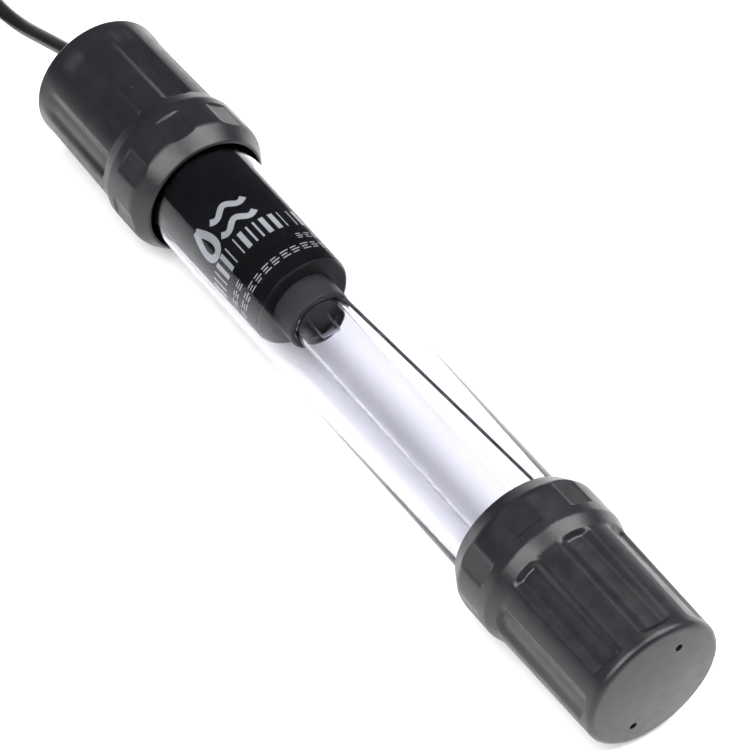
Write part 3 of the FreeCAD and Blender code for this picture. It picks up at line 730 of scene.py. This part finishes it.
@dataclass
class LabelPrint:
    """Generic silver marks laid on the round label, in millimetres along the axis and degrees.

    Attributes:
        radius: Radius at which the ink lies.
        height: Height of the lamp axis.
    """

    radius: float
    height: float
    form: bmesh.types.BMesh = field(default_factory=bmesh.new)

    def stroke(self, path: Outline, width: float) -> None:
        """Lay one even stroke along a path.

        Args:
            path: Points as place along the axis and arc length round the label.
            width: Width of the stroke.
        """
        lathe = Lathe(self.height)
        fine = divided(path, 0.5, closed=False)
        sides: list[list[bmesh.types.BMVert]] = []
        for index, (x, arc) in enumerate(fine):
            before = Vector(fine[max(0, index - 1)])
            after = Vector(fine[min(len(fine) - 1, index + 1)])
            ahead = (after - before).normalized()
            pair = []
            for side in (-0.5, 0.5):
                angle = (arc + ahead.x * side * width) / self.radius
                place = lathe.spot(x - ahead.y * side * width, self.radius, angle)
                pair.append(self.form.verts.new(place))
            sides.append(pair)
        for (a, b), (c, d) in zip(sides, sides[1:]):
            self.form.faces.new((a, b, d, c))

    def arc(self, degrees: float) -> float:
        """Arc length round the label at an angle."""
        return math.radians(degrees) * self.radius

    def drop(self, x: float, angle: float, length: float, width: float) -> None:
        """Outline of a water drop with its point towards the cord end."""
        path = []
        for step in range(41):
            turn = 2 * math.pi * step / 40
            narrow = math.sin(turn / 2) ** 1.3
            path.append((x - length / 2 * math.cos(turn),
                         self.arc(angle) + width / 2 * math.sin(turn) * narrow))
        self.stroke(path, 2.1)

    def waves(self, x: float, first: float, last: float) -> None:
        """Two even wave lines side by side."""
        for row in (-2.7, 2.7):
            path = []
            for step in range(37):
                share = step / 36
                swing = 1.0 * math.sin(share * 3 * math.pi)
                path.append((x + row + swing, self.arc(first + (last - first) * share)))
            self.stroke(path, 1.8)

    def bars(self, x: float, length: float, first: float, last: float, widths: list[float],
             gap: float) -> None:
        """Row of bars along the axis.

        Args:
            x: Middle of the row.
            length: Length of a bar.
            first: Angle at which the row starts.
            last: Angle at which it stops.
            widths: Widths of the bars, used in turn.
            gap: Gap between two bars.
        """
        place = self.arc(first)
        index = 0
        while place > self.arc(last):
            width = widths[index % len(widths)]
            middle = place - width / 2
            self.stroke([(x - length / 2, middle), (x + length / 2, middle)], width)
            place -= width + gap
            index += 1

    def glyph_row(self, x: float, first: float, last: float, size: float) -> None:
        """Row of small three-line blocks."""
        place = self.arc(first)
        index = 0
        while place > self.arc(last):
            for line in (-0.36, 0.0, 0.36):
                short = 0.25 if (index + round(line * 3)) % 2 else 0.0
                spot = x + line * size
                self.stroke([(spot, place), (spot, place - size * (0.92 - short))], size * 0.15)
            place -= size * 1.2
            index += 1

    def build(self, palette: Palette) -> bpy.types.Object:
        """Lay all marks and join them into one piece."""
        self.drop(-48.3, 152.0, 10.0, 6.4)
        self.waves(-48.2, 133.0, 88.0)
        self.bars(-39.2, 5.8, 190.0, 40.0, [1.4, 2.6, 1.4, 1.4, 3.4], 1.3)
        self.glyph_row(-32.1, 71.0, 44.0, 2.1)
        self.glyph_row(-32.2, 195.0, 150.0, 2.3)
        self.glyph_row(-28.1, 188.0, 30.0, 2.5)
        marks = new_object("label_print", self.form)
        marks.data.materials.append(palette.ink)
        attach(marks, "root")
        log.info("laid the label marks")
        return marks


@dataclass
class BallastSection:
    """Black housing with its label and the lamp holder at its far end."""

    housing_wall: float = 1.2
    end_wall: float = 2.0
    label_film: float = 0.25
    boss_radius: float = 9.0
    socket_depth: float = 6.5

    def build(self, palette: Palette) -> None:
        """Make the housing, label, marks and lamp holder."""
        low, high = extent("ballast_housing")
        holder_low, holder_high = extent("lamp_holder")
        _, lamp_high = extent("lamp_tube")
        axis = (low.z + high.z) / 2
        lathe = Lathe(axis, steps=256)
        radius = high.y
        boss = self.boss_radius
        bore = radius - self.housing_wall
        housing = lathe.turn("housing_shell", rounded(
            [(low.x, bore), (low.x, radius), (high.x, radius), (high.x, boss + 0.05),
             (high.x - self.end_wall, boss + 0.05), (high.x - self.end_wall, bore)],
            {2: 0.7, 3: 0.2}, closed=True))
        palette.paint(housing, "housing_plastic")
        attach(housing, "root")
        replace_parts(housing, "ballast_housing")

        label_low, label_high = extent("label_wrap")
        outside = radius + self.label_film
        label = lathe.turn("label_sheet", rounded(
            [(label_low.x, radius + 0.02), (label_low.x, outside), (label_high.x, outside),
             (label_high.x, radius + 0.02)], {1: 0.1, 2: 0.1}, closed=True))
        palette.paint(label, "label_film")
        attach(label, "root")
        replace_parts(label, "label_wrap")
        LabelPrint(outside + 0.04, axis).build(palette)

        socket = lamp_high.y + 0.12
        flange = high.x - self.end_wall
        holder = lathe.turn("holder_boss", rounded(
            [(holder_low.x, 0.0), (holder_low.x, boss), (flange - 2, boss),
             (flange - 2, holder_high.y), (flange - 0.02, holder_high.y), (flange - 0.02, boss),
             (holder_high.x, boss), (holder_high.x, socket),
             (holder_high.x - self.socket_depth, socket), (holder_high.x - self.socket_depth, 0.0)],
            {6: 0.8, 7: 0.25}, closed=True))
        palette.paint(holder, "holder_plastic")
        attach(holder, "root")
        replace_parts(holder, "lamp_holder")


@dataclass
class LampTube:
    """Sealed clear lamp tube with domed ends."""

    wall: float = 1.0

    def build(self, palette: Palette) -> bpy.types.Object:
        """Make the tube in place of the CAD one."""
        low, high = extent("lamp_tube")
        radius = high.y
        inner = radius - self.wall
        corners = [(low.x, 0.0), (low.x, radius), (high.x, radius), (high.x, 0.0),
                   (high.x - self.wall, 0.0), (high.x - self.wall, inner),
                   (low.x + self.wall, inner), (low.x + self.wall, 0.0)]
        outline = rounded(corners, {1: 2.4, 2: 2.4, 5: 1.6, 6: 1.6}, closed=True)
        tube = Lathe((low.z + high.z) / 2, steps=192).turn("lamp_glass_tube", outline, sharp=60)
        palette.paint(tube, "lamp_glass")
        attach(tube, "root")
        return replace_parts(tube, "lamp_tube")


# ---------------------------------------------------------------- cord and mains plug


@dataclass
class MainsPlug:
    """Two-pin plug with a waisted grip and a ribbed bend relief."""

    ribs: int = 6
    rib_height: float = 0.55
    waist: float = 0.52
    grooves: int = 9

    def build(self, palette: Palette) -> list[bpy.types.Object]:
        """Make the relief and the body, and return the pieces at the cord's end."""
        return [self.relief(palette), self.body(palette), frame["nodes"]["plug_pins"]]

    def relief(self, palette: Palette) -> bpy.types.Object:
        """Ribbed cone round the cord."""
        low, high = extent("plug_relief")
        big = (high.z - low.z) / 2
        small = big - 1.2
        length = high.x - low.x
        outline: Outline = [(high.x, 2.12), (high.x, small - 0.3)]
        for rib in range(self.ribs):
            start = high.x - length * (0.06 + 0.78 * rib / self.ribs)
            pitch = length * 0.78 / self.ribs
            for share, lift in ((0.0, -self.rib_height), (0.12, 0.0), (0.62, 0.0),
                                (0.74, -self.rib_height)):
                x = start - pitch * share
                outline.append((x, small + (big - small) * (high.x - x) / length + lift))
        outline += [(low.x + 1.5, big), (low.x, big), (low.x, 2.12)]
        lathe = Lathe((low.z + high.z) / 2, (low.y + high.y) / 2, 96)
        relief = lathe.turn("plug_bend_relief", outline, sharp=50)
        palette.paint(relief, "plug_moulding")
        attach(relief, "root")
        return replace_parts(relief, "plug_relief")

    def section(self, share: float, half_width: float, half_height: float) -> tuple[float, float]:
        """Half width and height of the body at a share of its length."""
        shoulder = eased(share / 0.35)
        waist = 0.09 * math.exp(-((share - self.waist) / 0.2) ** 2)
        groove = 0.022 * max(0.0, math.cos((share - self.waist) * 2 * math.pi * self.grooves))
        inside = 1.0 if abs(share - self.waist) < 0.22 else 0.0
        wide = half_width * (0.50 + 0.50 * shoulder - waist - groove * inside)
        tall = half_height * (0.66 + 0.34 * shoulder)
        end = min(share, 1 - share)
        soft = math.sqrt(max(0.0, 1 - (1 - min(1.0, end / 0.04)) ** 2))
        return wide - (1 - soft) * 1.2, tall - (1 - soft) * 1.2

    def body(self, palette: Palette) -> bpy.types.Object:
        """Moulded body, from the relief to the pin face."""
        low, high = extent("plug_body")
        middle = (low + high) / 2
        form = bmesh.new()
        rows: list[list[bmesh.types.BMVert]] = []
        count = 96
        for step in range(121):
            share = step / 120
            wide, tall = self.section(share, (high.y - low.y) / 2, (high.z - low.z) / 2)
            row = []
            for point in range(count):
                angle = 2 * math.pi * point / count
                across = math.copysign(abs(math.cos(angle)) ** 0.55, math.cos(angle))
                upward = math.copysign(abs(math.sin(angle)) ** 0.55, math.sin(angle))
                place = (high.x - (high.x - low.x) * share, middle.y + wide * across,
                         middle.z + tall * upward)
                row.append(form.verts.new([value * MM for value in place]))
            rows.append(row)
        for first, last in zip(rows, rows[1:]):
            for point in range(count):
                after = (point + 1) % count
                form.faces.new((first[point], last[point], last[after], first[after]))
        form.faces.new(rows[0])
        form.faces.new(rows[-1][::-1])
        body = new_object("plug_grip", form, 40)
        palette.paint(body, "plug_moulding")
        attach(body, "root")
        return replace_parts(body, "plug_body")


@dataclass
class MainsCord:
    """Round mains cord: a lead from the cap to the floor, a two-layer coil and a tail to the plug.

    Attributes:
        lead: Points of the lead as distance beyond the cap, y and height, in millimetres.
        tail: Points of the tail as distance along X from the end of the coil, share of the
            coil's radius and share of the rise to the plug.
        columns: Turns side by side in one layer of the coil.
        turns: Turns of the coil in all.
    """

    lead: tuple[tuple[float, float, float], ...] = (
        (10.9, 0.0, 19.25), (22.1, 0.0, 14.95), (40.5, 0.0, 7.1), (52.4, 0.0, 4.45),
        (60.2, 0.9, 3.2), (68.6, 4.1, 2.4), (75.6, 5.0, 2.15))
    tail: tuple[tuple[float, float, float], ...] = (
        (13.0, 0.0, 0.02), (26.0, 0.0, 0.10), (39.0, 0.0, 0.21), (46.3, 0.067, 0.335),
        (51.7, 0.25, 0.47), (53.7, 0.5, 0.615), (51.7, 0.75, 0.76), (46.3, 0.933, 0.885),
        (39.0, 1.0, 0.97), (35.0, 1.0, 1.0))
    diameter: float = 4.2
    outer_turn: float = 29.3
    columns: int = 4
    turns: float = 7.5
    steps: int = 24

    def coil(self, start: Vector) -> list[Vector]:
        """Points of the coil, inwards on the floor and outwards on top.

        Args:
            start: Point at which the lead meets the coil.

        Returns:
            Points in millimetres.
        """
        points = []
        climb = self.columns - 0.55
        for step in range(1, round(self.turns * self.steps) + 1):
            turned = step / self.steps
            steps_in = 0.0
            for column in range(1, self.columns):
                steps_in += eased((turned - column + 0.30) / 0.24)
                steps_in -= eased((turned - self.columns - column + 0.38) / 0.24)
            radius = self.outer_turn - self.diameter * steps_in
            layer = eased((turned - climb) / 0.24)
            height = self.diameter * (0.5 + layer)
            angle = math.pi / 2 + 2 * math.pi * turned
            points.append(Vector((start.x + radius * math.cos(angle),
                                  start.y - self.outer_turn + radius * math.sin(angle), height)))
        return points

    def route(self) -> list[Vector]:
        """Whole centreline from the cap to the plug, in millimetres."""
        low, high = extent("upper_cap")
        tip = Vector((low.x, 0.0, (low.z + high.z) / 2))
        points = [tip, tip - Vector((5.0, 0.0, 0.0))]
        points += [Vector((tip.x - out, y, z)) for out, y, z in self.lead]
        coil = self.coil(points[-1])
        points += coil
        plug_low, plug_high = extent("plug_body")
        rise = (plug_low.z + plug_high.z) / 2 - coil[-1].z
        return points + [coil[-1] + Vector((along, across * self.outer_turn, up * rise))
                         for along, across, up in self.tail]

    def build(self, palette: Palette) -> bpy.types.Object:
        route = self.route()
        curve = bpy.data.curves.new("mains_cord", "CURVE")
        curve.dimensions = "3D"
        curve.bevel_depth = self.diameter / 2 * MM
        curve.bevel_resolution = 8
        curve.resolution_u = 4
        curve.use_fill_caps = True
        spline = curve.splines.new("NURBS")
        spline.points.add(len(route) - 1)
        for point, place in zip(spline.points, route):
            point.co = (*(place * MM), 1.0)
        spline.order_u = 3
        spline.use_endpoint_u = True
        cord = bpy.data.objects.new("mains_cord", curve)
        bpy.context.scene.collection.objects.link(cord)
        palette.paint(cord, "cord_jacket")
        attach(cord, "root")
        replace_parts(cord, "cord_lead", "cord_coil", "cord_tail")
        pieces = MainsPlug().build(palette)
        return cord


# ---------------------------------------------------------------- studio


@dataclass
class StudioCamera:
    """Camera that looks at the middle of the sleeve from its lower right.

    Attributes:
        azimuth: Degrees round the lamp, 0 looking along +Y.
        elevation: Degrees above the horizon.
        distance: Distance from the middle, in millimetres.
        right: Shift to the right of the middle, in millimetres.
        up: Shift upwards, in millimetres.
        lens: Focal length on a 36 mm sensor.
    """

    azimuth: float = 55.54
    elevation: float = 48.42
    distance: float = 851.9
    right: float = 5.39
    up: float = -4.52
    lens: float = 163.2

    def build(self) -> bpy.types.Object:
        """Make the camera and hand it to the scene."""
        low, high = extent("upper_cap")
        round_about = math.radians(self.azimuth)
        above = math.radians(self.elevation)
        right = Vector((math.cos(round_about), math.sin(round_about), 0.0))
        back = Vector((math.sin(round_about) * math.cos(above),
                       -math.cos(round_about) * math.cos(above), math.sin(above)))
        up = back.cross(right)
        middle = Vector((0.0, 0.0, (low.z + high.z) / 2))
        data = bpy.data.cameras.new("studio_camera")
        data.lens = self.lens
        data.sensor_width = 36.0
        data.clip_start = 0.01
        data.clip_end = 50.0
        camera = bpy.data.objects.new("studio_camera", data)
        camera.location = (middle + right * self.right + up * self.up + back * self.distance) * MM
        camera.rotation_mode = "QUATERNION"
        camera.rotation_quaternion = (-back).to_track_quat("-Z", "Y")
        bpy.context.scene.collection.objects.link(camera)
        bpy.context.scene.camera = camera
        return camera


@dataclass
class Softbox:
    """Area light aimed at the object.

    Attributes:
        name: Name of the light.
        place: Where it stands, in metres.
        size: Width and height, in metres.
        power: Power in watts.
    """

    name: str
    place: tuple[float, float, float]
    size: tuple[float, float]
    power: float

    def build(self) -> bpy.types.Object:
        """Make the light."""
        data = bpy.data.lights.new(self.name, "AREA")
        data.shape = "RECTANGLE"
        data.size, data.size_y = self.size
        data.energy = self.power
        light = bpy.data.objects.new(self.name, data)
        light.location = self.place
        light.rotation_mode = "QUATERNION"
        light.rotation_quaternion = Vector(self.place).to_track_quat("Z", "Y")
        bpy.context.scene.collection.objects.link(light)
        return light


@dataclass
class Studio:
    """Pale floor and soft light."""

    floor_reach: float = 6.0
    ambient: float = 0.10

    def floor(self) -> bpy.types.Object:
        """Wide flat floor just under the object."""
        form = bmesh.new()
        reach = self.floor_reach
        corners = [form.verts.new((x, y, -0.0001)) for x, y in
                   ((-reach, -reach), (reach, -reach), (reach, reach), (-reach, reach))]
        form.faces.new(corners)
        floor = new_object("studio_floor", form)
        paint = Finish("studio_floor", (0.83, 0.83, 0.84), 0.9, spread=0.01, grain=0.004,
                       depth=0.00001)
        floor.data.materials.append(paint.material())
        return floor

    def build(self) -> None:
        """Make the floor, the sky and the softboxes."""
        self.floor()
        world = bpy.data.worlds.new("studio_world")
        world.use_nodes = True
        sky = world.node_tree.nodes["Background"]
        sky.inputs["Color"].default_value = (0.95, 0.97, 1.0, 1.0)
        sky.inputs["Strength"].default_value = self.ambient
        bpy.context.scene.world = world
        for light in (Softbox("key_softbox", (0.3, 0.85, 1.5), (1.5, 1.5), 66.0),
                      Softbox("fill_softbox", (0.45, -1.0, 1.35), (1.5, 1.5), 60.0)):
            light.build()
        bpy.context.scene.view_settings.view_transform = "Standard"


def main() -> None:
    """Build the whole scene."""
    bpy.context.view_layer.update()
    StudioCamera().build()
    palette = Palette(FINISHES)
    palette.dress_frame()
    MainsCord().build(palette)
    ScrewCap(Side.UPPER, first_flute=31.0, opening=2.6, flute_fade=7.0).build(palette)
    ScrewCap(Side.LOWER, first_flute=39.7).build(palette)
    GlassSleeve().build(palette)
    BallastSection().build(palette)
    LampTube().build(palette)
    Studio().build()


if __name__ == "__main__":
    main()
